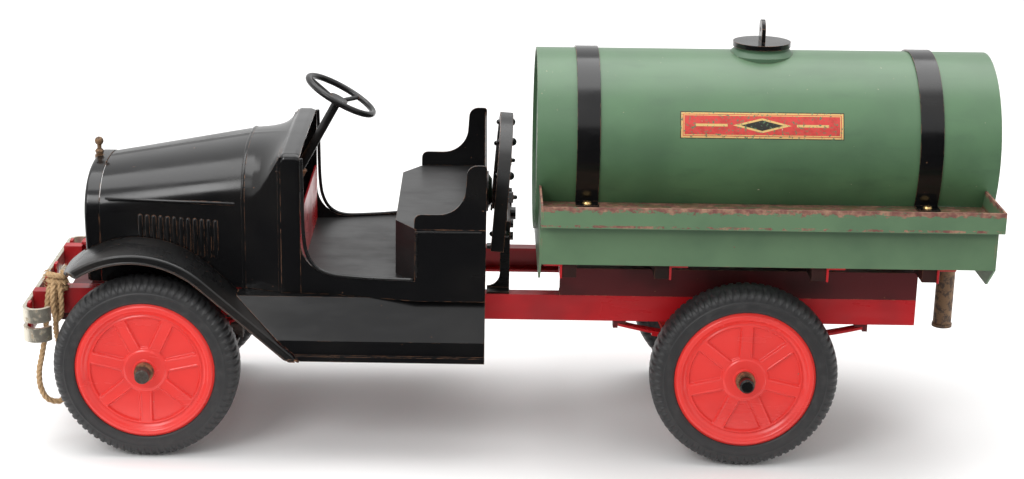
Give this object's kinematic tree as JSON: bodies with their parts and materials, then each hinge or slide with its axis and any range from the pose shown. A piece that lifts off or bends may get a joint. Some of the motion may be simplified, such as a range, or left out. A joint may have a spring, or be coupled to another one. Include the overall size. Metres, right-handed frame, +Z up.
{
  "type": "toy tanker truck",
  "caption": "Pressed-steel toy tanker truck with open cab, steering front wheels, strapped round tank with filler cap, trough-sided bed and tow rope.",
  "frame": {"origin": "on the ground under the middle of the bounding box", "axes": "+X forwards towards the radiator, +Y to the truck's left, +Z up"},
  "size_m": [0.595, 0.211, 0.263],
  "materials": {
    "chassis_red": "satin enamel",
    "chassis_dark": "dull enamel",
    "dark_steel": "oiled",
    "black_enamel": "gloss enamel, worn edges",
    "core_grey": "dull",
    "rusty_brass": "tarnished",
    "nickel": "worn nickel plate",
    "tank_green": "satin enamel",
    "rivet_brass": "polished",
    "rope": "twisted jute",
    "wheel_red": "satin enamel",
    "tyre_rubber": "matt",
    "bush_brass": "tarnished"
  },
  "bodies": {
    "chassis": {"rail_left": "chassis_red", "rail_right": "chassis_red", "subrails": "chassis_red", "cross_members": "chassis_dark", "front_axle_beam": "dark_steel", "kingpins": "dark_steel", "rear_axle": "dark_steel", "rear_axle_caps": "dark_steel", "springs_front": "chassis_red", "springs_rear": "chassis_red", "spring_mounts": "chassis_dark", "fender_left": "black_enamel", "fender_right": "black_enamel", "running_boards": "black_enamel", "radiator_shell": "black_enamel", "radiator_core": "core_grey", "radiator_cap": "rusty_brass", "hood": "black_enamel", "cowl": "black_enamel", "cab_body": "black_enamel", "floor_pan": "black_enamel", "toe_board": "chassis_red", "column_bracket": "rusty_brass", "seat_box": "black_enamel", "seat_back": "black_enamel", "seat_boss": "black_enamel", "rack_hoop": "black_enamel", "rack_bracket": "black_enamel", "rack_fasteners": "dark_steel", "bumper_bars": "nickel", "bumper_clamps": "chassis_red", "tank_shell": "tank_green", "tank_ends": "tank_green", "filler_neck": "tank_green", "tank_straps": "black_enamel", "strap_rivets": "rivet_brass", "bed_sides": "tank_green", "bed_ends": "tank_green", "bolsters": "tank_green", "drain_pipe": "rusty_brass", "tow_rope": "rope", "rope_knot": "rope"},
    "steering": {"steering_column": "black_enamel", "steering_wheel": "black_enamel"},
    "tie_rod": {"tie_rod": "dark_steel"},
    "knuckle_left": {"knuckle_left": "dark_steel"},
    "knuckle_right": {"knuckle_right": "dark_steel"},
    "filler_lid": {"filler_cap": "black_enamel"},
    "wheel_front_left": {"disc_front_left": "wheel_red", "tyre_front_left": "tyre_rubber", "bush_front_left": "bush_brass"},
    "wheel_front_right": {"disc_front_right": "wheel_red", "tyre_front_right": "tyre_rubber", "bush_front_right": "bush_brass"},
    "wheel_rear_left": {"disc_rear_left": "wheel_red", "tyre_rear_left": "tyre_rubber", "bush_rear_left": "bush_brass"},
    "wheel_rear_right": {"disc_rear_right": "wheel_red", "tyre_rear_right": "tyre_rubber", "bush_rear_right": "bush_brass"}
  },
  "joints": [
    {"name": "steering_turn", "type": "hinge", "parent": "chassis", "child": "steering", "pos_m": [0.1071, 0, 0.2082], "axis": [-0.4848, 0, 0.8746], "range_deg": [-35.4, 35.4]},
    {"name": "tie_rod_slide", "type": "slide", "parent": "chassis", "child": "tie_rod", "axis": [0, 1, 0], "range_m": [-0.00841, 0.00841]},
    {"name": "knuckle_left_turn", "type": "hinge", "parent": "chassis", "child": "knuckle_left", "pos_m": [0.2205, 0.059, 0.0575], "axis": [0, 0, 1], "range_deg": [-10.2, 10.2]},
    {"name": "knuckle_right_turn", "type": "hinge", "parent": "chassis", "child": "knuckle_right", "pos_m": [0.2205, -0.059, 0.0575], "axis": [0, 0, 1], "range_deg": [-10.2, 10.2]},
    {"name": "wheel_front_left_spin", "type": "hinge", "parent": "knuckle_left", "child": "wheel_front_left", "pos_m": [0.2205, 0.078, 0.0575], "axis": [0, 1, 0], "continuous": true},
    {"name": "wheel_front_right_spin", "type": "hinge", "parent": "knuckle_right", "child": "wheel_front_right", "pos_m": [0.2205, -0.078, 0.0575], "axis": [0, 1, 0], "continuous": true},
    {"name": "wheel_rear_left_spin", "type": "hinge", "parent": "chassis", "child": "wheel_rear_left", "pos_m": [-0.1465, 0.078, 0.0575], "axis": [0, 1, 0], "continuous": true},
    {"name": "wheel_rear_right_spin", "type": "hinge", "parent": "chassis", "child": "wheel_rear_right", "pos_m": [-0.1465, -0.078, 0.0575], "axis": [0, 1, 0], "continuous": true},
    {"name": "filler_lid_lift", "type": "slide", "parent": "chassis", "child": "filler_lid", "axis": [0, 0, 1], "range_m": [0, 0.03]}
  ],
  "couplings": [
    {"joint": "tie_rod_slide", "follows": "steering_turn", "m_per_rad": -0.013126},
    {"joint": "knuckle_left_turn", "follows": "steering_turn", "ratio": 0.28249},
    {"joint": "knuckle_right_turn", "follows": "steering_turn", "ratio": 0.28249}
  ]
}
